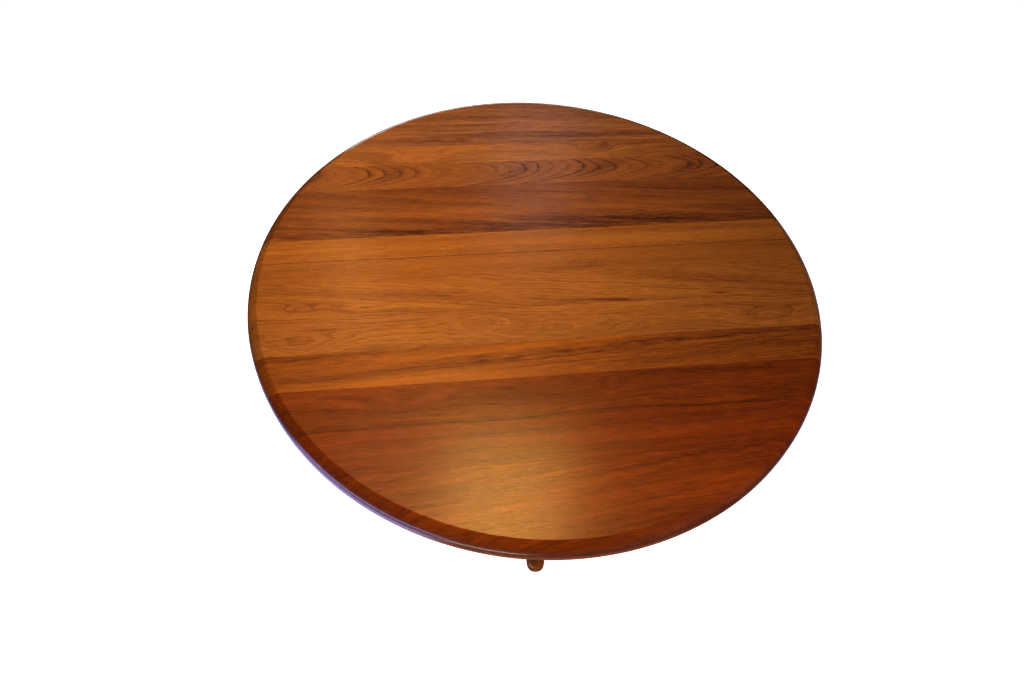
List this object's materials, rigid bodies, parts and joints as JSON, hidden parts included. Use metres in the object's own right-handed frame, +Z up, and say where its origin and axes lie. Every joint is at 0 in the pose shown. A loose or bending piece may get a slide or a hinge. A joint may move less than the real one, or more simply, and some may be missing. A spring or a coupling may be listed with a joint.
{
  "type": "drop leaf table",
  "caption": "Round solid teak drop leaf table: narrow fixed middle section, hinged leaves on slotted quadrant stays, thick rounded rim, and a turned pedestal with low feet.",
  "frame": {"origin": "on the floor under the middle of the round top", "axes": "+Z up; X along the boards and the leaf joints; +Y towards the far leaf"},
  "size_m": [1.2, 1.2, 0.72],
  "materials": {
    "teak_light": "glossy clear lacquer",
    "teak_dark": "glossy clear lacquer",
    "teak_frame": "satin lacquer",
    "brass": "satin",
    "steel": "zinc plated",
    "black_steel": "black powder coat",
    "glide": "matte"
  },
  "bodies": {
    "base": {"board_fixed_1": "teak_light", "board_fixed_2": "teak_light", "rim_fixed_left": "teak_frame", "rim_fixed_right": "teak_frame", "rail_fixed_far": "teak_frame", "rail_fixed_near": "teak_frame", "hinge_plates_fixed_far": "brass", "hinge_plates_fixed_near": "brass", "hinge_pins_far": "brass", "hinge_pins_near": "brass", "hanger_far_left": "brass", "hanger_far_right": "brass", "hanger_near_left": "brass", "hanger_near_right": "brass", "screws_fixed": "brass", "head_block": "teak_frame", "head_bolts": "steel", "column": "teak_frame", "foot_right": "teak_frame", "foot_far": "teak_frame", "foot_left": "teak_frame", "foot_near": "teak_frame", "base_plate": "black_steel", "base_screws": "steel", "glides": "glide"},
    "leaf_far": {"board_far_1": "teak_light", "board_far_2": "teak_dark", "board_far_3": "teak_dark", "board_far_4": "teak_light", "board_far_5": "teak_dark", "rim_far_1": "teak_frame", "rim_far_2": "teak_frame", "rim_far_3": "teak_frame", "rail_leaf_far": "teak_frame", "batten_far_left": "teak_frame", "batten_far_right": "teak_frame", "hinge_plates_leaf_far": "brass", "stay_far_left": "brass", "stay_far_right": "brass", "screws_leaf_far": "brass"},
    "leaf_near": {"board_near_1": "teak_light", "board_near_2": "teak_dark", "board_near_3": "teak_dark", "board_near_4": "teak_dark", "board_near_5": "teak_dark", "rim_near_1": "teak_frame", "rim_near_2": "teak_frame", "rim_near_3": "teak_frame", "rail_leaf_near": "teak_frame", "batten_near_left": "teak_frame", "batten_near_right": "teak_frame", "hinge_plates_leaf_near": "brass", "stay_near_left": "brass", "stay_near_right": "brass", "screws_leaf_near": "brass"},
    "thumb_screw_far_left": {"thumb_screw_far_left": "brass"},
    "thumb_screw_far_right": {"thumb_screw_far_right": "brass"},
    "thumb_screw_near_left": {"thumb_screw_near_left": "brass"},
    "thumb_screw_near_right": {"thumb_screw_near_right": "brass"}
  },
  "joints": [
    {"name": "leaf_far_drop", "type": "hinge", "parent": "base", "child": "leaf_far", "pos_m": [0, 0.075, 0.673], "axis": [-1, 0, 0], "range_deg": [0, 90]},
    {"name": "leaf_near_drop", "type": "hinge", "parent": "base", "child": "leaf_near", "pos_m": [0, -0.075, 0.673], "axis": [1, 0, 0], "range_deg": [0, 90]},
    {"name": "thumb_screw_far_left_turn", "type": "hinge", "parent": "base", "child": "thumb_screw_far_left", "pos_m": [-0.3031, 0.06342, 0.57871], "axis": [1, 0, 0], "range_deg": [0, 270]},
    {"name": "thumb_screw_far_right_turn", "type": "hinge", "parent": "base", "child": "thumb_screw_far_right", "pos_m": [0.3031, 0.06342, 0.57871], "axis": [-1, 0, 0], "range_deg": [0, 270]},
    {"name": "thumb_screw_near_left_turn", "type": "hinge", "parent": "base", "child": "thumb_screw_near_left", "pos_m": [-0.3569, -0.06342, 0.57871], "axis": [-1, 0, 0], "range_deg": [0, 270]},
    {"name": "thumb_screw_near_right_turn", "type": "hinge", "parent": "base", "child": "thumb_screw_near_right", "pos_m": [0.3569, -0.06342, 0.57871], "axis": [1, 0, 0], "range_deg": [0, 270]}
  ]
}
